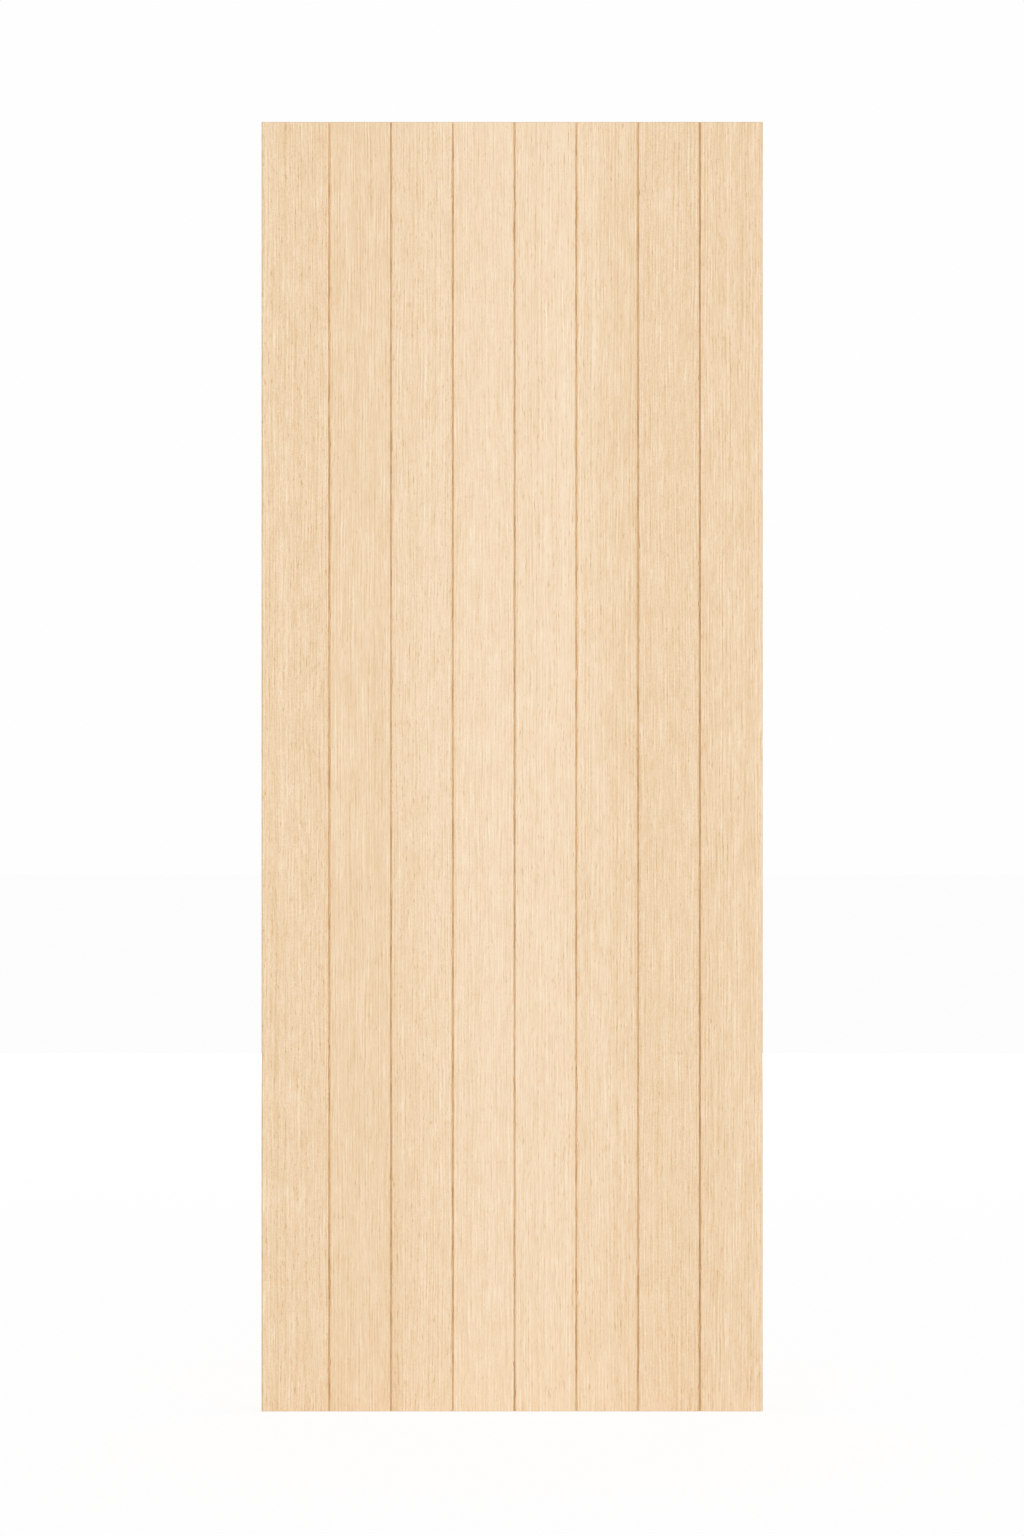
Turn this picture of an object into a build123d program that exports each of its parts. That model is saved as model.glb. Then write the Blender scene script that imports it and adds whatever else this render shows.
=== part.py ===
from build123d import *
import os

# A wooden entrance door leaf, boarded upright on both faces over a tenoned frame.
#
# Each face is a row of tongued and grooved oak boards. The boards stand a little apart at the
# face, so that every joint shows as a narrow, deep line with the next board's tongue at its foot.
# The boards are glued to a frame of two stiles and three rails, whose two bays are filled, and
# oak lippings cover the frame's edges between the two rows of boards.
#
# The origin is on the hinge edge, at the foot of the leaf and midway through its thickness.
# X runs from the hinge edge to the lock edge, Y from the front to the back, and Z is up.

# Leaf
LEAF_WIDTH = 820.0
LEAF_HEIGHT = 2110.0
CORE_THICKNESS = 28.0
EDGE_ROUND = 2.0  # rounding of the arrises round each face

# Boards
BOARD_THICKNESS = 13.0
BOARD_COVER = 101.0  # from one joint to the next
FIRST_BOARD_WIDTH = 111.0  # from the hinge edge to the first joint
NARROWEST_BOARD = 40.0  # the least that the last board, cut to fit, may measure

# Joint between two boards
JOINT_WIDTH = 2.6  # open at the face
JOINT_DEPTH = 4.5  # from the face down to the tongue
JOINT_EASE = 0.3  # chamfer of the arrises beside the joint
TONGUE_THICKNESS = 4.0
TONGUE_REACH = 6.0
TONGUE_LEAD = 0.8  # chamfer at the tongue's tip
TONGUE_CHEEK_GAP = 0.1
TONGUE_END_GAP = 0.5

# Lippings over the frame's edges
LIPPING_THICKNESS = 8.0

# Frame
STILE_WIDTH = 112.0
TOP_RAIL_WIDTH = 112.0
LOCK_RAIL_WIDTH = 160.0
BOTTOM_RAIL_WIDTH = 190.0
LOCK_RAIL_CENTRE = 1050.0  # above the foot of the leaf
TENON_THICKNESS = 10.0
TENON_LENGTH = 45.0
TENON_SHOULDER = 18.0  # from a rail's edge to its tenon's edge
TENON_CHEEK_GAP = 0.1
TENON_END_GAP = 2.0
INFILL_GAP = 0.5  # between the infill and the frame round it

# Places that follow from the sizes
LEAF_THICKNESS = CORE_THICKNESS + 2 * BOARD_THICKNESS
FACE_Y = -LEAF_THICKNESS / 2
TONGUE_Y = FACE_Y + JOINT_DEPTH
FRAME_FOOT = LIPPING_THICKNESS
FRAME_HEAD = LEAF_HEIGHT - LIPPING_THICKNESS
STILE_INNER_X = LIPPING_THICKNESS + STILE_WIDTH
OPENING_WIDTH = LEAF_WIDTH - 2 * STILE_INNER_X
MIDDLE_OF_WIDTH = Plane.YZ.offset(LEAF_WIDTH / 2)

FULL_BOARDS = int((LEAF_WIDTH - FIRST_BOARD_WIDTH - NARROWEST_BOARD) // BOARD_COVER)
JOINTS_X = [FIRST_BOARD_WIDTH + n * BOARD_COVER for n in range(FULL_BOARDS + 1)]

# Each rail's middle height and width
RAILS = {
    "top_rail": (FRAME_HEAD - TOP_RAIL_WIDTH / 2, TOP_RAIL_WIDTH),
    "lock_rail": (LOCK_RAIL_CENTRE, LOCK_RAIL_WIDTH),
    "bottom_rail": (FRAME_FOOT + BOTTOM_RAIL_WIDTH / 2, BOTTOM_RAIL_WIDTH),
}

LOW = (Align.MIN, Align.MIN)


def board(x_from, x_to, grooved, tongued):
    """A front board between two joints: its section across the leaf, carried up the leaf's height."""
    face_from = x_from + JOINT_WIDTH / 2 if grooved else x_from
    face_to = x_to - JOINT_WIDTH / 2 if tongued else x_to
    shoulder = x_to + JOINT_WIDTH / 2

    with BuildPart() as piece:
        with BuildSketch() as section:
            with Locations((face_from, FACE_Y)):
                Rectangle(face_to - face_from, BOARD_THICKNESS, align=LOW)
            if tongued:
                with Locations((face_to, TONGUE_Y)):
                    Rectangle(JOINT_WIDTH, BOARD_THICKNESS - JOINT_DEPTH, align=LOW)
                with Locations((shoulder, TONGUE_Y)):
                    Rectangle(TONGUE_REACH, TONGUE_THICKNESS, align=LOW)
                chamfer(section.vertices().group_by(Axis.X)[-1], TONGUE_LEAD)
            if grooved:
                with Locations((face_from, TONGUE_Y - TONGUE_CHEEK_GAP)):
                    Rectangle(
                        TONGUE_REACH + TONGUE_END_GAP,
                        TONGUE_THICKNESS + 2 * TONGUE_CHEEK_GAP,
                        align=LOW,
                        mode=Mode.SUBTRACT,
                    )
            arrises = section.vertices().group_by(Axis.Y)[0].sort_by(Axis.X)
            if grooved:
                chamfer(arrises[0], JOINT_EASE)
            else:
                fillet(arrises[0], EDGE_ROUND)
            if tongued:
                chamfer(arrises[-1], JOINT_EASE)
            else:
                fillet(arrises[-1], EDGE_ROUND)
        extrude(amount=LEAF_HEIGHT)
        fillet(piece.edges().filter_by(Axis.X).group_by(Axis.Y)[0], EDGE_ROUND)
    return piece.part


def turned_over(front):
    """The board behind a front board: the same board turned over to face the other way."""
    with BuildPart() as piece:
        add(mirror(front, about=Plane.XZ))
    return piece.part


def stile():
    """The hinge stile, with a mortise in its inner edge for each rail's tenon."""
    with BuildPart() as piece:
        with BuildSketch(Plane.XY.offset(FRAME_FOOT)):
            with Locations((LIPPING_THICKNESS, 0)):
                Rectangle(STILE_WIDTH, CORE_THICKNESS, align=(Align.MIN, Align.CENTER))
        extrude(amount=FRAME_HEAD - FRAME_FOOT)
        with BuildSketch(Plane.YZ.offset(STILE_INNER_X)):
            for middle, width in RAILS.values():
                with Locations((0, middle)):
                    Rectangle(
                        TENON_THICKNESS + 2 * TENON_CHEEK_GAP,
                        width - 2 * TENON_SHOULDER + 2 * TENON_CHEEK_GAP,
                    )
        extrude(amount=-(TENON_LENGTH + TENON_END_GAP), mode=Mode.SUBTRACT)
    return piece.part


def rail(middle, width):
    """A rail that spans between the stiles, with a tenon at each end."""
    with BuildPart() as piece:
        with BuildSketch(Plane.YZ.offset(STILE_INNER_X)):
            with Locations((0, middle)):
                Rectangle(CORE_THICKNESS, width)
        extrude(amount=OPENING_WIDTH)
        with BuildSketch(Plane.YZ.offset(STILE_INNER_X - TENON_LENGTH)):
            with Locations((0, middle)):
                Rectangle(TENON_THICKNESS, width - 2 * TENON_SHOULDER)
        extrude(amount=OPENING_WIDTH + 2 * TENON_LENGTH)
    return piece.part


def infill(z_from, z_to):
    """The board that fills one bay of the frame, from one face's boards to the other's."""
    with BuildPart() as piece:
        with BuildSketch(Plane.XY.offset(z_from + INFILL_GAP)):
            with Locations((LEAF_WIDTH / 2, 0)):
                Rectangle(OPENING_WIDTH - 2 * INFILL_GAP, CORE_THICKNESS)
        extrude(amount=z_to - z_from - 2 * INFILL_GAP)
    return piece.part


def side_lipping():
    """The strip up the hinge edge, from the foot of the leaf to its head."""
    with BuildPart() as piece:
        with BuildSketch():
            Rectangle(LIPPING_THICKNESS, CORE_THICKNESS, align=(Align.MIN, Align.CENTER))
        extrude(amount=LEAF_HEIGHT)
    return piece.part


def end_lipping(z_from):
    """The strip over the frame's head or foot, between the two side lippings."""
    with BuildPart() as piece:
        with BuildSketch(Plane.XY.offset(z_from)):
            with Locations((LEAF_WIDTH / 2, 0)):
                Rectangle(LEAF_WIDTH - 2 * LIPPING_THICKNESS, CORE_THICKNESS)
        extrude(amount=LIPPING_THICKNESS)
    return piece.part


def opposite(hinge_side):
    """The lock side's copy of a piece of the hinge side."""
    with BuildPart() as piece:
        add(mirror(hinge_side, about=MIDDLE_OF_WIDTH))
    return piece.part


def bay(rail_below, rail_above):
    """The heights of a bay's foot and head, between two rails."""
    below_middle, below_width = RAILS[rail_below]
    above_middle, above_width = RAILS[rail_above]
    return below_middle + below_width / 2, above_middle - above_width / 2


pieces = {}

bounds = [0.0, *JOINTS_X, LEAF_WIDTH]
last = len(bounds) - 1
for number in range(1, last + 1):
    front = board(bounds[number - 1], bounds[number], grooved=number > 1, tongued=number < last)
    pieces[f"front_board_{number}"] = front
    pieces[f"back_board_{number}"] = turned_over(front)

pieces["hinge_edge_lipping"] = side_lipping()
pieces["lock_edge_lipping"] = opposite(pieces["hinge_edge_lipping"])
pieces["top_lipping"] = end_lipping(FRAME_HEAD)
pieces["bottom_lipping"] = end_lipping(0)

pieces["hinge_stile"] = stile()
pieces["lock_stile"] = opposite(pieces["hinge_stile"])
for name, (middle, width) in RAILS.items():
    pieces[name] = rail(middle, width)
pieces["upper_infill"] = infill(*bay("lock_rail", "top_rail"))
pieces["lower_infill"] = infill(*bay("bottom_rail", "lock_rail"))

os.makedirs("parts", exist_ok=True)
for name, part in pieces.items():
    part.label = name
    export_step(part, f"parts/{name}.step")
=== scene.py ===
import math

import bpy
import numpy as np
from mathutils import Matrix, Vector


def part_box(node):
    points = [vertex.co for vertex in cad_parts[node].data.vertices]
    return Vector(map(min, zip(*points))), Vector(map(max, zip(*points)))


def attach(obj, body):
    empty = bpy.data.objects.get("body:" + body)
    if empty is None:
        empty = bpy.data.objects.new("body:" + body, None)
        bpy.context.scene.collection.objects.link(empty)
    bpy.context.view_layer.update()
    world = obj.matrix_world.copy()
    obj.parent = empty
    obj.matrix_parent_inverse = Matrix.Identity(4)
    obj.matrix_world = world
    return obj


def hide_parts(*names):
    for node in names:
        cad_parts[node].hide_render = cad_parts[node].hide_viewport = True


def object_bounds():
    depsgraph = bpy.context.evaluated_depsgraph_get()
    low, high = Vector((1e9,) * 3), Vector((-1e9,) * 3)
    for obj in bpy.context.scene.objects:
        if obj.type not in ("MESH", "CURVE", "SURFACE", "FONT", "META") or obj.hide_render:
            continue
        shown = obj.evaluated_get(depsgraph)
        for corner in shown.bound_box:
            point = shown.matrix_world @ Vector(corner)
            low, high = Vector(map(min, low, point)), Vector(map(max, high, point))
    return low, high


# The looks of a boarded oak door leaf: its boards and lippings with their eased and slightly
# ragged arrises, the oak they are sawn from, and the plain studio that they stand in.
# All lengths are in metres.

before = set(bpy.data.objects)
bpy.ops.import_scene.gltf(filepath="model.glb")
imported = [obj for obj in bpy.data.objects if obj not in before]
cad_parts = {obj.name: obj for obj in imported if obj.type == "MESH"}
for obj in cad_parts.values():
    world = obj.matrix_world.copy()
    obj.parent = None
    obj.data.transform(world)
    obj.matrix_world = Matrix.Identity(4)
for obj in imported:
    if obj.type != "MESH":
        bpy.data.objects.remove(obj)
cad_box = [list(corner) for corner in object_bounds()]

# The leaf, as the frame gives it
LOW, HIGH = (np.array(corner) for corner in cad_box)
LEAF_WIDTH, LEAF_THICKNESS, LEAF_HEIGHT = HIGH - LOW

# The boards' section
BOARD_THICKNESS = 0.013
EDGE_ROUND = 0.002
JOINT_WIDTH = 0.0026
JOINT_DEPTH = 0.0045
JOINT_EASE = 0.0003
TONGUE_THICKNESS = 0.004
TONGUE_REACH = 0.006
TONGUE_LEAD = 0.0008
TONGUE_CHEEK_GAP = 0.0001
TONGUE_END_GAP = 0.0005
BACK_EASE = 0.0003  # at the hidden arrises, and at the lippings' arrises
SHARP_FROM = 35  # degrees between two faces, from which the edge between them is sharp

# How far hand and machine leave the boards from true
ROW_STEP = 0.0034  # between two rows of points up a board
ROLL = 0.00008  # what sanding takes off a face beside its arrises
ROLL_REACH = 0.006
SET_BACK = 0.0001  # the most that one board's face lies behind its neighbours'
ARRIS_WANDER = 0.0001
ARRIS_WAVES = (0.020, 0.090)  # the lengths of a short and of a long wander
ARRIS_CHIP = 0.0009
CHIP_LENGTH = 0.007
CHIP_SPACING = 0.07
MOST_WORN = 0.0014
FACE_INSET = 0.0022  # the face's own points keep so far from its arrises, more than they wear
FACE_POINTS = (0.0, 0.015, 0.04, 0.15, 0.38, 0.62, 0.85, 0.96, 0.985, 1.0)  # across the rest of it
LIPPING_STEP = 0.02  # between two rows of points along a lipping
LIPPING_WAVES = (0.25, 0.3)  # in the width of its planed arrises: their length, and their share
LIPPING_SEED = 7
LOG_REACH = 5.0  # how far from a log's middle its pieces are taken

# The photograph: its size, and where the leaf lies in it, in pixels
PICTURE = (1024, 1536)
LEAF_LEFT, LEAF_TOP, LEAF_FOOT = 261.5, 121.75, 1411.56
CAMERA_DISTANCE = 8.0
SENSOR = 36.0  # mm, along the picture's longer side

# The studio: how bright the white round the leaf lights it and looks, and its lamps, which stand
# on the floor before and behind the leaf, each with its side and its power in watts
AMBIENT, WHITE = 0.61, 0.99
LAMPS = {"key": (-1, 333.0), "fill": (1, 263.0)}
LAMP_SIZE = (9.0, 1.6)
LAMP_DISTANCE = 10.0

# The floor: its reach, its paint, its glow, and how much of it is glow to the rays that see it and
# to those that light the leaf
FLOOR_REACH = 40.0
FLOOR_PAINT, FLOOR_GLOW = 0.9, 1.12
GLOW_SEEN, GLOW_LIGHTING = 0.75, 0.15

# The tone of each board at its left and at its right, from the hinge edge on, and how much darker than
# most the joint beside its tongue is, in dirt and painted shade. On the front the tones rise over the
# middle boards: each board's own tone, and a painted soft highlight over the middle of the face
FRONT_TONES_AND_HIGHLIGHT = [
    (215.0, 215.0, -3.0),
    (214.2, 216.0, 0.0),
    (216.5, 220.1, 1.0),
    (220.8, 223.0, 9.0),
    (221.8, 221.6, 5.0),
    (220.6, 214.4, -5.0),
    (215.0, 213.8, 14.0),
    (214.7, 215.5, 0.0),
]
BACK_TONES = [
    (216.4, 215.2, 4.0),
    (218.6, 219.4, 2.0),
    (214.2, 214.8, -3.0),
    (217.0, 216.2, 1.0),
    (213.6, 214.4, -4.0),
    (219.8, 218.8, 6.0),
    (216.0, 217.2, 3.0),
    (214.6, 215.0, 0.0),
]
LIPPING_TONE = 218.0

# Each lipping, the axis that it runs along, and its axes across the rings, through them and along
LIPPINGS = [
    ("hinge_edge_lipping", 2, "YXZ"),
    ("lock_edge_lipping", 2, "YXZ"),
    ("top_lipping", 0, "YZX"),
    ("bottom_lipping", 0, "YZX"),
]

NOISE_SPREAD = 4.0  # what brings noise of 0 to 1, mostly near its middle, to about -1 to 1


class Shade:
    """A socket of a material's nodes. Sums and products of sockets and numbers add Math nodes."""

    def __init__(self, tree, socket=None):
        self.tree, self.socket = tree, socket

    def node(self, kind, settings=None, sockets=None, output=0):
        """Adds a node of this kind. Its settings come first, then what its sockets hold or are
        linked to, and one of its outputs comes back."""
        made = self.tree.nodes.new("ShaderNode" + kind)
        for name, value in (settings or {}).items():
            if name == "stops":
                self.fill_ramp(made.color_ramp, value)
            else:
                setattr(made, name, value)
        for name, value in (sockets or {}).items():
            if isinstance(value, Shade):
                self.tree.links.new(value.socket, made.inputs[name])
            else:
                made.inputs[name].default_value = value
        return Shade(self.tree, made.outputs[output] if made.outputs else None)

    @staticmethod
    def fill_ramp(ramp, stops):
        """Gives a ramp its stops, each a place from 0 to 1 and a colour."""
        while len(ramp.elements) < len(stops):
            ramp.elements.new(1.0)
        for element, (place, colour) in zip(ramp.elements, stops):
            element.position = place
            element.color = (*colour, 1.0)

    def math(self, operation, *others):
        return self.node("Math", {"operation": operation}, dict(enumerate((self, *others))))

    def vector(self, operation, *others):
        return self.node("VectorMath", {"operation": operation}, dict(enumerate((self, *others))))

    def part(self, axis):
        return self.node("SeparateXYZ", {}, {"Vector": self}, output=axis)

    def __add__(self, other):
        return self.math("ADD", other)

    def __sub__(self, other):
        return self.math("SUBTRACT", other)

    def __rsub__(self, other):
        return (self * -1.0) + other

    def __mul__(self, other):
        return self.math("MULTIPLY", other)

    def __truediv__(self, other):
        return self.math("DIVIDE", other)

    def __pow__(self, other):
        return self.math("POWER", other)

    __radd__, __rmul__ = __add__, __mul__

    def above(self, low, high):
        """0 where the value is under low, 1 where it is over high, and smooth between."""
        return self.node(
            "MapRange",
            {"interpolation_type": "SMOOTHSTEP"},
            {"Value": self, "From Min": low, "From Max": high},
        )

    def noise(self, sizes, detail=0.0):
        """Noise of about -1 to 1 at this place, whose patches measure sizes along the three axes."""
        place = self.vector("DIVIDE", sizes)
        found = self.node(
            "TexNoise",
            {"noise_dimensions": "3D"},
            {"Vector": place, "Scale": 1.0, "Detail": detail},
        )
        return (found - 0.5) * NOISE_SPREAD


def material(name):
    """A new material without nodes, and the maker of its nodes."""
    made = bpy.data.materials.new(name)
    made.use_nodes = True
    made.node_tree.nodes.clear()
    return made, Shade(made.node_tree)


def linear(*screen):
    """The linear colour that a screen shows as these three numbers, which run from 11 to 255."""
    return tuple(((value / 255 + 0.055) / 1.055) ** 2.4 for value in screen)


# The oak's colours, from the darkest pore to the palest fleck, each at its tone
DARK_TONE, PALE_TONE = 150.0, 240.0
OAK = [
    (157.0, (192, 150, 105)),
    (166.5, (199, 160, 115)),
    (180.0, (211, 174, 131)),
    (205.0, (232.2, 200, 158)),
    (216.6, (239.5, 212.5, 178.6)),
    (224.6, (245.0, 220.5, 188.2)),
    (228.6, (246.6, 224.2, 195)),
    (238.5, (252, 236, 214)),
]
SHINE = 0.04  # what the lacquer reflects of white surroundings
SHINE_TAKES = 1.6  # what it keeps back of the wood's own light, as a multiple of that
MIDDLE_TONE = 217.0
FIGURE_FADE = 0.02  # how much fainter the figure is for each tone that a board is paler
ROUGHNESS, PORE_ROUGHNESS = 0.53, 0.2  # the lacquer's, and what a pore adds to it

# How the fibres lean and sway. Three sizes in brackets, here and below, are those of a noise's
# patches, across the year rings, through them and up the fibres. How far the fibres move follows.
LEAN = ((0.022, 0.022, 0.080), 0.0008)
SWAY = ((0.090, 0.090, 0.800), 0.0020)

# The year rings: how far apart they are, how far they slope for each metre through the board, by
# how many radians they wander, between which values of a noise they come, and their tones
YEAR_RING = 0.0052
RING_SLOPE = 0.4
RING_WANDER = ((0.012, 0.012, 0.350), 2.5)
RING_LENGTHS = ((0.005, 0.005, 0.060), (-0.4, 0.6))
RING_TONES = 8.8

# The oak's plain marks: each one's noise, its detail, and how many tones it makes the oak paler or
# darker
MARKS = {
    "bands": ((0.020, 0.020, 1.200), 0.0, 2.0),
    "clouds": ((0.016, 0.016, 0.050), 1.0, 3.4),
    "long streaks": ((0.0016, 0.0016, 1.500), 0.0, 3.33),
    "short streaks": ((0.0018, 0.0018, 0.060), 0.0, 3.33),
    "fibres": ((0.0015, 0.0015, 0.020), 0.0, 4.3),
    "fine fibres": ((0.0004, 0.0004, 0.012), 0.0, 3.1),
    "dashes": ((0.0015, 0.0015, 0.006), 1.0, 3.0),
    "specks": ((0.0012, 0.0012, 0.0016), 0.0, 5.2),
}

# Dark pores, drawn to the dark side of the rings and broken up by the fine fibres, and pale flecks:
# each one's noise, the values between which it comes, and its tones
PORES = ((0.0016, 0.0016, 0.0110), (0.95, 1.3), 19.5)
PORES_DRAWN = 0.3
FLECKS = ((0.0018, 0.0060, 0.0500), (1.15, 1.4), 7.0)

# How much painted shade darkens the arrises, where they turn from the face and its light: up the hinge
# edge, beside the joints, up the lock edge, and across the head and the foot, where painted light makes
# them paler instead
HINGE_ARRIS_SHADE, JOINT_ARRIS_SHADE, LOCK_ARRIS_SHADE, END_ARRIS_LIGHT = 21.0, 14.0, 0.0, -6.0
EDGE_ZONE = (0.005, 0.010)  # where the hinge and lock edges' own tones end, in from the edge

# How much darker are the edges of the leaf and end grain, and the stains in these and the arrises
EDGE_TONE = 10.0
END_GRAIN_TONE = 24.0
STAINS = ((0.004, 0.004, 0.016), 0.6)

# How much darker are the joints, with dirt and painted shade in their recesses, from the palest lengths
# of most of them to the darkest, the noise that tells these apart and its values between them, and how
# deep in a joint it begins
JOINT_TONES = (0.0, 18.0)
JOINT_LENGTHS = ((0.006, 0.006, 0.040), (0.2, 0.25))
JOINT_FROM = (0.0006, 0.0014)
JOINT_TINT = (1.0, 0.985, 0.86, 1.0)  # what old lacquer and dirt let through of the oak's colour, and the warm tint of painted shade in the joint

SOFTWOOD_RING = 0.0045


def oak_colour(shade, tone):
    """The oak's colour at a tone, the brightness from 0 to 255 at which it shows in plain light,
    less the lacquer's shine."""
    span = PALE_TONE - DARK_TONE
    stops = []
    for at, shown in OAK:
        colour = tuple((level - SHINE) / (1 - SHINE * SHINE_TAKES) for level in linear(*shown))
        stops.append(((at - DARK_TONE) / span, colour))
    return shade.node("ValToRGB", {"stops": stops}, {"Fac": (tone - DARK_TONE) / span})


def laid_out(shade, place, axes):
    """The place with its axes in another order: across the rings, through them, up the fibres."""
    parts = shade.node("SeparateXYZ", {}, {"Vector": place}).socket.node.outputs
    chosen = {to: Shade(shade.tree, parts[of]) for to, of in zip("XYZ", axes)}
    return shade.node("CombineXYZ", {}, chosen)


def figured(place):
    """The oak's figure at a place in its log: how many tones paler than the piece it is there, how
    much of a pore lies there, and how high the surface stands."""
    lean, sway = (place.noise(sizes) * reach for sizes, reach in (LEAN, SWAY))
    grain = place.vector("ADD", place.node("CombineXYZ", {}, {"X": lean + sway}))

    # Fine lines that come and go: the sine of the way across the year rings
    sizes, wander = RING_WANDER
    turns = (grain.part("X") + grain.part("Y") * RING_SLOPE) * (math.tau / YEAR_RING)
    turns = turns + grain.noise(sizes) * wander
    sizes, values = RING_LENGTHS
    rings = turns.math("SINE") * grain.noise(sizes, detail=1.0).above(*values)

    marks = {kind: grain.noise(sizes, detail) for kind, (sizes, detail, _) in MARKS.items()}
    paler = rings * RING_TONES
    for kind, (_, _, tones) in MARKS.items():
        paler = paler + marks[kind] * tones

    fibres, fine = marks["fibres"], marks["fine fibres"]
    sizes, values, tones = PORES
    pores = (grain.noise(sizes) + (fine - rings) * PORES_DRAWN).above(*values)
    paler = paler - pores * tones
    sizes, values, tones = FLECKS
    paler = paler + grain.noise(sizes).above(*values) * tones
    return paler, pores, fibres * 0.2 + fine * 0.3 - pores


def oak(name, log, tone, drift=0.0, middle=0.0, joint=0.0, axes="XYZ"):
    """Planed oak under matt lacquer. log is the piece's place in its log, which sets its grain, and
    axes are the piece's own across the year rings, through them and up the fibres. The tone is the
    one at the middle, and drifts by so much a metre across; on the front boards, tone and drift also
    paint a soft highlight over the middle of the face. joint is how much darker than most the
    piece's own joint is, in dirt and painted shade."""
    made, shade = material(name)
    there = shade.node("TexCoord", output="Object")
    place = laid_out(shade, there, axes).vector("ADD", log)
    figure, pores, relief = figured(place)

    # The arrises, told by the way they face, with painted shade where they turn from the face. Those of
    # the hinge and lock edges have their own tones
    x = there.part("X")
    near, far = EDGE_ZONE
    by_hinge = 1.0 - x.above(near, far)
    by_lock = x.above(LEAF_WIDTH - far, LEAF_WIDTH - near)
    arris_shade = by_hinge * (HINGE_ARRIS_SHADE - JOINT_ARRIS_SHADE) + by_lock * (LOCK_ARRIS_SHADE - JOINT_ARRIS_SHADE)
    turned = shade.node("NewGeometry", output="Normal").vector("ABSOLUTE")
    edge = turned.part("X").above(0.8, 1.0)
    end = turned.part("Z").above(0.7, 1.0)
    arris = turned.part("X").above(0.03, 0.15) - edge
    end_arris = turned.part("Z").above(0.05, 0.3) - end
    # Painted shade on the turned arrises, and painted light on those across the head and foot
    darker = arris * (arris_shade + JOINT_ARRIS_SHADE) + end_arris * END_ARRIS_LIGHT

    # The leaf's edges, and end grain wherever the fibres end, with stains over all of these
    ends = laid_out(shade, turned, axes).part("Z").above(0.7, 1.0)
    darker = darker + (edge + end) * EDGE_TONE + ends * (END_GRAIN_TONE - EDGE_TONE)
    sizes, strength = STAINS
    darker = darker * (1.0 + place.noise(sizes, detail=1.0) * strength)

    # The joints, with dirt and painted shade, in pale and dark lengths: deep enough, away from the
    # leaf's edges and ends
    depth = LEAF_THICKNESS / 2 - there.part("Y").math("ABSOLUTE")
    deep = depth.above(*JOINT_FROM) * (1.0 - by_hinge - by_lock)
    deep = deep * (1.0 - turned.part("Z").above(0.1, 0.9))
    sizes, values = JOINT_LENGTHS
    lengths = place.noise(sizes, detail=3.0).above(*values)
    palest, darkest = JOINT_TONES
    # Dirt and painted shade deep in the joints
    darker = darker * (1.0 - deep) + (lengths * (darkest - palest) + (palest + joint)) * deep

    strength = 1.0 - (tone - MIDDLE_TONE) * FIGURE_FADE
    # On the front boards, the tone and its drift also paint a soft highlight over the middle of the
    # face
    tones = (x - middle) * drift + tone + figure * strength - darker
    colour = shade.node(
        "Mix",
        {"data_type": "RGBA", "blend_type": "MULTIPLY"},
        {0: deep, 6: oak_colour(shade, tones), 7: JOINT_TINT},
        output=2,
    )
    bump = shade.node("Bump", {}, {"Strength": 0.25, "Distance": 0.0001, "Height": relief})
    roughness = pores * PORE_ROUGHNESS + ROUGHNESS
    surface = shade.node(
        "BsdfPrincipled",
        {},
        {"Base Color": colour, "Roughness": roughness, "Normal": bump},
    )
    shade.node("OutputMaterial", {}, {"Surface": surface})
    return made


def softwood(name, axes):
    """Bare planed softwood: wide year rings, each darkening slowly and ending at once."""
    made, shade = material(name)
    place = laid_out(shade, shade.node("TexCoord", output="Object"), axes)
    wander = place.noise((0.030, 0.030, 0.400)) * 0.0040
    year = ((place.part("X") + place.part("Y") * 0.5 + wander) / SOFTWOOD_RING).math("FRACT")
    fibres = place.noise((0.0012, 0.0012, 0.040), detail=1.0)
    shown = year ** 2.0 * 0.8 + fibres * 0.12
    stops = [(0.0, linear(224, 194, 148)), (0.6, linear(214, 178, 126)), (1.0, linear(188, 142, 88))]
    colour = shade.node("ValToRGB", {"stops": stops}, {"Fac": shown})
    surface = shade.node("BsdfPrincipled", {}, {"Base Color": colour, "Roughness": 0.7})
    shade.node("OutputMaterial", {}, {"Surface": surface})
    return made


def fibre_board(name):
    """Pressed wood fibre: short matted fibres, pale and dark, with a rough surface."""
    made, shade = material(name)
    place = shade.node("TexCoord", output="Object")
    matted = place.noise((0.0060, 0.0060, 0.0012), detail=2.0) + place.noise((0.0012, 0.0060, 0.0060))
    stops = [(0.2, linear(142, 112, 84)), (0.5, linear(172, 144, 112)), (0.8, linear(196, 170, 138))]
    colour = shade.node("ValToRGB", {"stops": stops}, {"Fac": matted * 0.25 + 0.5})
    bump = shade.node("Bump", {}, {"Strength": 0.4, "Distance": 0.0005, "Height": matted})
    surface = shade.node("BsdfPrincipled", {}, {"Base Color": colour, "Roughness": 0.9, "Normal": bump})
    shade.node("OutputMaterial", {}, {"Surface": surface})
    return made


def waves(rng, z, length, spread, count=12):
    """A smooth wander up the height z: cosine waves of lengths round about length with random
    phases, added and scaled so that they spread by about spread either side of nought."""
    lengths = length * rng.uniform(0.6, 1.8, count)
    phases = rng.uniform(0, math.tau, count)
    return spread * math.sqrt(2 / count) * np.cos(math.tau * z[:, None] / lengths + phases).sum(1)


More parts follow.
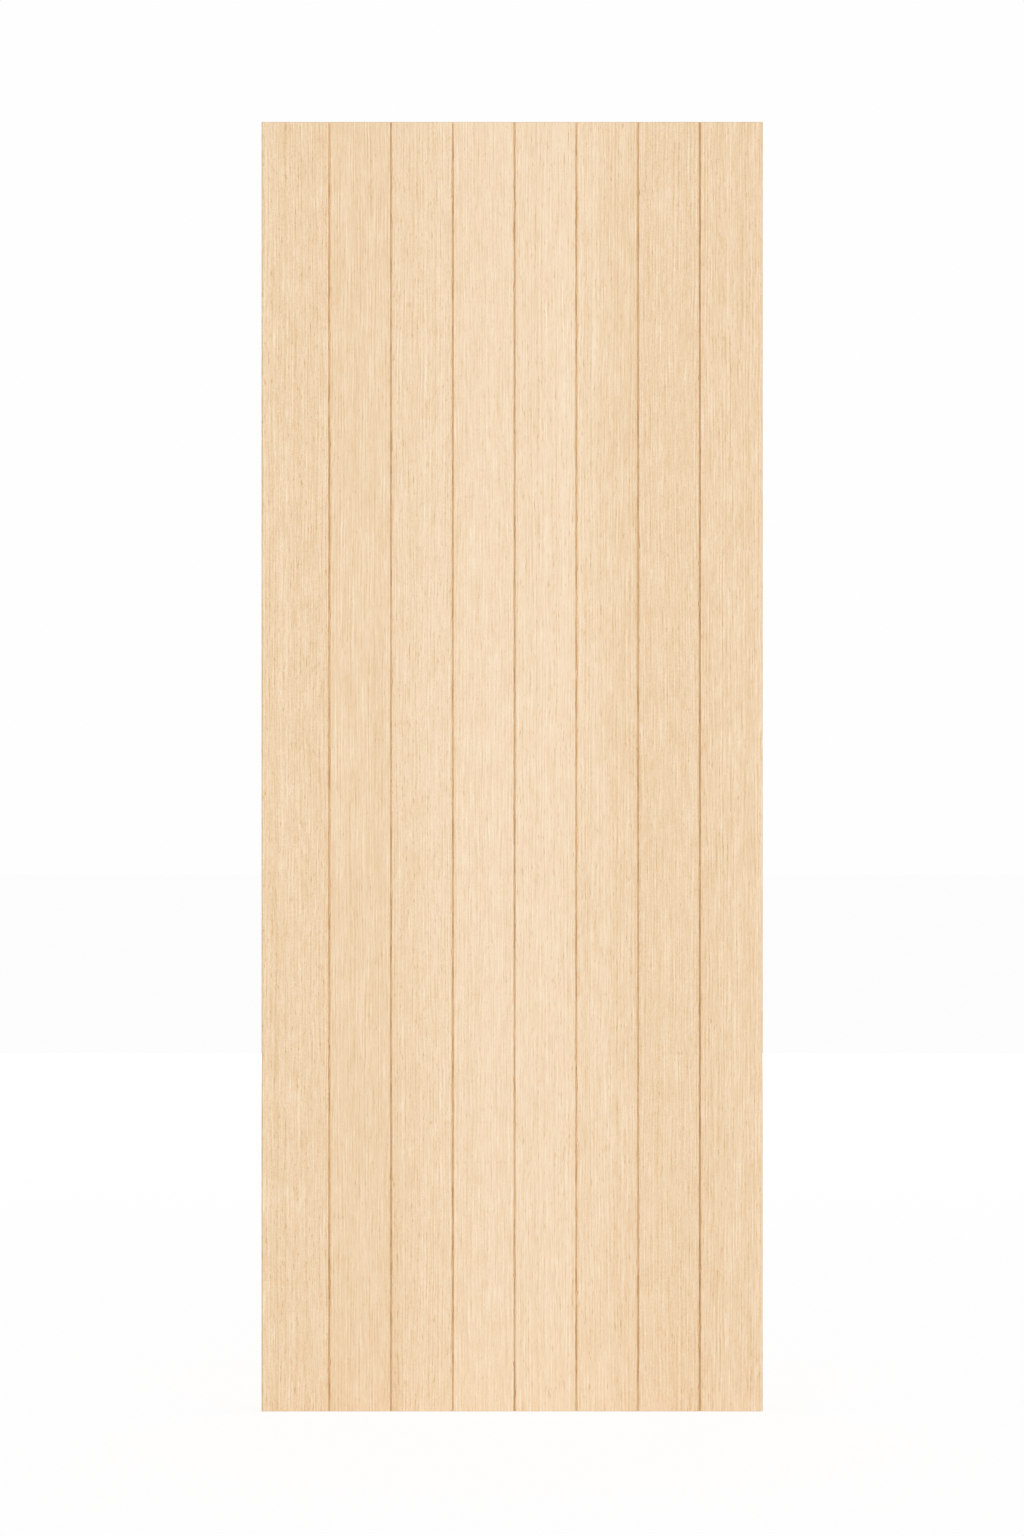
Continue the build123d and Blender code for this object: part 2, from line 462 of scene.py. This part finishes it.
def chips(rng, z):
    """How deep an arris is chipped up the height z: the deepest of many parabolas, each with its
    own place, length and depth, and nought between them."""
    count = int(LEAF_HEIGHT / CHIP_SPACING)
    places = rng.uniform(0, LEAF_HEIGHT, count)
    halves = CHIP_LENGTH * rng.uniform(0.3, 1.0, count)
    depths = ARRIS_CHIP * rng.uniform(0.2, 1.0, count) ** 2
    return (depths * (1 - ((z[:, None] - places) / halves) ** 2)).clip(0).max(1)


def worn_arris(rng, z):
    """How far an arris has worn back up the height z: a short and a long wander, and chips."""
    short, long = (waves(rng, z, length, ARRIS_WANDER) for length in ARRIS_WAVES)
    return ((ARRIS_WANDER + short + long).clip(0) + chips(rng, z)).clip(0, MOST_WORN)


def board_rows():
    """Heights of the rows of points up a board: even steps, and close ones at the rounded ends."""
    turn = np.linspace(0, math.pi / 2, 6)
    end = EDGE_ROUND * (1 - np.cos(turn))
    count = int(LEAF_HEIGHT / ROW_STEP)
    middle = np.linspace(EDGE_ROUND, LEAF_HEIGHT - EDGE_ROUND, count)[1:-1]
    return np.concatenate([end, middle, LEAF_HEIGHT - end[::-1]])


def arc(centre, radius, start, end, count=6):
    """Points along an arc from one angle to another, in degrees."""
    turn = np.radians(np.linspace(start, end, count))
    return [(centre[0] + radius * math.cos(a), centre[1] + radius * math.sin(a)) for a in turn]


def board_section(x_from, x_to, grooved, tongued):
    """A front board's section, anticlockwise from its left arris, with y counted from its face.
    Beside each point stand its shares in the left and in the right joint arris's wander."""
    points = []

    def corner(x, y, left=0.0, right=0.0):
        points.append((x, y, left, right))

    back = BOARD_THICKNESS
    if grooved:
        for share in (1.0, 0.5, 0.0):
            corner(x_from + JOINT_EASE * (1 - share), JOINT_EASE * share, 1.0, 0.0)
    else:
        for x, y in arc((x_from + EDGE_ROUND, EDGE_ROUND), EDGE_ROUND, 180, 270):
            corner(x, y)
    for share in FACE_POINTS:
        corner(x_from + FACE_INSET + (x_to - x_from - 2 * FACE_INSET) * share, 0.0)
    if tongued:
        for share in (0.0, 0.5, 1.0):
            corner(x_to - JOINT_EASE * (1 - share), JOINT_EASE * share, 0.0, 1.0)
        shoulder, tip = x_to + JOINT_WIDTH, x_to + JOINT_WIDTH + TONGUE_REACH
        cheek = JOINT_DEPTH + TONGUE_THICKNESS
        corner(x_to, JOINT_DEPTH)
        corner(shoulder, JOINT_DEPTH)
        corner(tip - TONGUE_LEAD, JOINT_DEPTH)
        corner(tip, JOINT_DEPTH + TONGUE_LEAD)
        corner(tip, cheek - TONGUE_LEAD)
        corner(tip - TONGUE_LEAD, cheek)
        corner(shoulder, cheek)
    else:
        shoulder = x_to
        for x, y in arc((x_to - EDGE_ROUND, EDGE_ROUND), EDGE_ROUND, 270, 360):
            corner(x, y)
    corner(shoulder, back - BACK_EASE)
    corner(shoulder - BACK_EASE, back)
    corner(x_from + BACK_EASE, back)
    corner(x_from, back - BACK_EASE)
    if grooved:
        mouth = JOINT_DEPTH - TONGUE_CHEEK_GAP
        floor = x_from + TONGUE_REACH + TONGUE_END_GAP
        corner(x_from, mouth + TONGUE_THICKNESS + 2 * TONGUE_CHEEK_GAP)
        corner(floor, mouth + TONGUE_THICKNESS + 2 * TONGUE_CHEEK_GAP)
        corner(floor, mouth)
        corner(x_from, mouth)
    return np.array(points)


def board_surface(section, x_from, x_to, rng):
    """A board's points, by row and by place in its section. Each point is the section's, moved in
    from a joint arris by that arris's wander and chips, back by the sanding's roll-off beside the
    arrises, and back to the quarter circle that rounds both ends of the face."""
    z = board_rows()
    x, y, left, right = (column[None, :] for column in section.T)
    left_worn, right_worn = (worn_arris(rng, z)[:, None] for _ in range(2))
    x_in = left * left_worn - right * right_worn
    y_in = (y > 0) * (left * left_worn + right * right_worn)
    near = np.minimum(x - x_from, x_to - x).clip(0, ROLL_REACH) / ROLL_REACH
    roll = ROLL * (1 - near) ** 2 * (y < JOINT_EASE)
    from_end = np.minimum(z, LEAF_HEIGHT - z).clip(0, EDGE_ROUND)[:, None]
    end_round = EDGE_ROUND - np.sqrt(EDGE_ROUND**2 - (EDGE_ROUND - from_end) ** 2)
    set_back = SET_BACK * rng.uniform()
    y_all = np.maximum(y + y_in + roll, end_round) + set_back * (y < JOINT_EASE)
    return np.stack(np.broadcast_arrays(x + x_in, y_all, z[:, None]), -1)


def swept_mesh(name, points):
    """A closed mesh from points by row and by place: a band of four-sided faces between each row
    and the next, and one face over each end."""
    rows, round_ = points.shape[:2]
    first = np.arange(rows - 1)[:, None] * round_ + np.arange(round_)
    beside = np.arange(rows - 1)[:, None] * round_ + (np.arange(round_) + 1) % round_
    sides = np.stack([first, beside, beside + round_, first + round_], -1).reshape(-1, 4)
    foot = np.arange(round_)[::-1]
    head = np.arange(round_) + (rows - 1) * round_
    mesh = bpy.data.meshes.new(name)
    mesh.from_pydata(points.reshape(-1, 3), [], [*sides.tolist(), foot.tolist(), head.tolist()])
    mesh.shade_smooth()
    mesh.set_sharp_from_angle(angle=math.radians(SHARP_FROM))
    return mesh


def dress(name, mesh, finish, slot, *nodes):
    """A piece of the leaf made from a mesh and a material, which stands for these nodes."""
    mesh.materials.append(finish)
    piece = bpy.data.objects.new(name, mesh)
    bpy.context.scene.collection.objects.link(piece)
    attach(piece, "root")
    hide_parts(*nodes)
    return piece


def turned_over(points):
    """The points of a back board's surface: a front board's, with y mirrored and its section
    followed the other way round, so that its faces still point outwards."""
    return (points * (1, -1, 1))[:, ::-1]


def boards():
    """The boards of both faces."""
    for side, all_tones in (("front", FRONT_TONES_AND_HIGHLIGHT), ("back", BACK_TONES)):
        for number, (left, right, joint) in enumerate(all_tones, start=1):
            node = f"{side}_board_{number}"
            rng = np.random.default_rng([number, side == "back"])
            low, high = (np.array(corner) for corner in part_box(node))
            grooved = number > 1
            tongued = number < len(all_tones)
            x_from = low[0]
            x_to = high[0] - (TONGUE_REACH + JOINT_WIDTH if tongued else 0)
            section = board_section(x_from, x_to, grooved, tongued)
            points = board_surface(section, x_from, x_to, rng)
            points[..., 1] += LOW[1]
            if side == "back":
                points = turned_over(points)
            log = tuple(rng.uniform(-LOG_REACH, LOG_REACH, 3))
            middle = (x_from + x_to) / 2
            drift = (right - left) / (x_to - x_from)
            finish = oak(f"oak_{node}", log, (left + right) / 2, drift, middle, joint)
            dress(f"{side}_plank_{number}", swept_mesh(node, points), finish, "oak_boards", node)


def strip_surface(low, high, along, rng):
    """A lipping's points, by row along it and by place in its section, which is its box's with the
    four arrises planed off by a width that wanders along it."""
    across = 2 - along
    length = np.linspace(low[along], high[along], int((high[along] - low[along]) / LIPPING_STEP))
    ease = BACK_EASE * (1 + waves(rng, length, *LIPPING_WAVES)).clip(0.2)[:, None]
    ends = np.array([0, 0, 1, 1, 1, 1, 0, 0])
    planed = np.array([0, 1, -1, 0, 0, -1, 1, 0])
    u = low[across] + (high[across] - low[across]) * ends + ease * planed
    ends, planed = np.roll(ends, -2), np.roll(planed, -2)
    y = low[1] + (high[1] - low[1]) * ends + ease * planed
    points = np.stack(np.broadcast_arrays(u, y, length[:, None]), -1)
    return points[:, ::-1] if along == 2 else points[..., ::-1]


def lippings():
    """The four strips over the edges of the leaf's frame."""
    for number, (node, along, axes) in enumerate(LIPPINGS):
        rng = np.random.default_rng([number, LIPPING_SEED])
        low, high = (np.array(corner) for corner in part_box(node))
        mesh = swept_mesh(node, strip_surface(low, high, along, rng))
        log = tuple(rng.uniform(-LOG_REACH, LOG_REACH, 3))
        finish = oak(f"oak_{node}", log, LIPPING_TONE, axes=axes)
        dress(node.replace("lipping", "strip"), mesh, finish, "oak_lipping", node)


def inner_pieces():
    """The frame and the infill, which keep their CAD shapes and get their materials."""
    finishes = {
        "stile": softwood("softwood_upright", "XYZ"),
        "rail": softwood("softwood_level", "ZYX"),
        "infill": fibre_board("fibre_board"),
    }
    for name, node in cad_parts.items():
        kind = name.rsplit("_", 1)[-1]
        if kind in finishes:
            node.data.materials.clear()
            node.data.materials.append(finishes[kind])


def seeing(shade):
    """1 for the rays by which the camera sees, straight or in gloss or through glass, else 0."""
    rays = shade.node("LightPath").socket.node.outputs
    camera, glossy, clear = (
        Shade(shade.tree, rays[f"Is {kind} Ray"]) for kind in ("Camera", "Glossy", "Transmission")
    )
    return camera.math("MAXIMUM", glossy.math("MAXIMUM", clear))


def pale_floor():
    """The floor: white paint that also glows. To the rays that see it, it glows about as bright as
    the white round it, so that only a faint shadow of the leaf shows on it, and to the rays that
    light the leaf it glows much less."""
    made, shade = material("pale_floor")
    paint = shade.node("BsdfDiffuse", {}, {"Color": (FLOOR_PAINT, FLOOR_PAINT, FLOOR_PAINT, 1.0)})
    glow = shade.node("Emission", {}, {"Color": (1.0, 1.0, 1.0, 1.0), "Strength": FLOOR_GLOW})
    share = seeing(shade) * (GLOW_SEEN - GLOW_LIGHTING) + GLOW_LIGHTING
    surface = shade.node("MixShader", {}, {0: share, 1: paint, 2: glow})
    shade.node("OutputMaterial", {}, {"Surface": surface})

    mesh = bpy.data.meshes.new("floor")
    corners = FLOOR_REACH * np.array([(-1, -1, 0), (1, -1, 0), (1, 1, 0), (-1, 1, 0)]) + (0, 0, LOW[2])
    mesh.from_pydata(corners, [], [(0, 1, 2, 3)])
    mesh.materials.append(made)
    floor = bpy.data.objects.new("floor", mesh)
    bpy.context.scene.collection.objects.link(floor)


def studio():
    """Even white light from all round, and two wide soft lamps, before and behind the leaf."""
    world = bpy.data.worlds.new("studio")
    bpy.context.scene.world = world
    world.use_nodes = True
    world.node_tree.nodes.clear()
    shade = Shade(world.node_tree)
    strength = AMBIENT + seeing(shade) * (WHITE - AMBIENT)
    sky = shade.node("Background", {}, {"Color": (1.0, 1.0, 1.0, 1.0), "Strength": strength})
    shade.node("OutputWorld", {}, {"Surface": sky})

    for name, (side, power) in LAMPS.items():
        lamp = bpy.data.lights.new(name, "AREA")
        lamp.shape = "RECTANGLE"
        lamp.size, lamp.size_y = LAMP_SIZE
        lamp.energy = power
        holder = bpy.data.objects.new(name, lamp)
        bpy.context.scene.collection.objects.link(holder)
        holder.location = (LEAF_WIDTH / 2, side * LAMP_DISTANCE, LOW[2] + LAMP_SIZE[1] / 2)
        holder.rotation_euler = (math.radians(90) * -side, 0, 0)


def camera():
    """A camera square on to the front face, which lies in its picture as in the photograph."""
    pixel = LEAF_HEIGHT / (LEAF_FOOT - LEAF_TOP)
    lens = bpy.data.cameras.new("camera")
    lens.sensor_width = SENSOR
    lens.lens = SENSOR * CAMERA_DISTANCE / (PICTURE[1] * pixel)
    lens.clip_end = 100.0
    holder = bpy.data.objects.new("camera", lens)
    bpy.context.scene.collection.objects.link(holder)
    holder.location = (
        LOW[0] + (PICTURE[0] / 2 - LEAF_LEFT) * pixel,
        LOW[1] - CAMERA_DISTANCE,
        LOW[2] + (LEAF_FOOT - PICTURE[1] / 2) * pixel,
    )
    holder.rotation_euler = (math.pi / 2, 0, 0)
    bpy.context.scene.camera = holder


camera()
studio()
pale_floor()
boards()
lippings()
inner_pieces()
bpy.context.scene.view_settings.view_transform = "Standard"
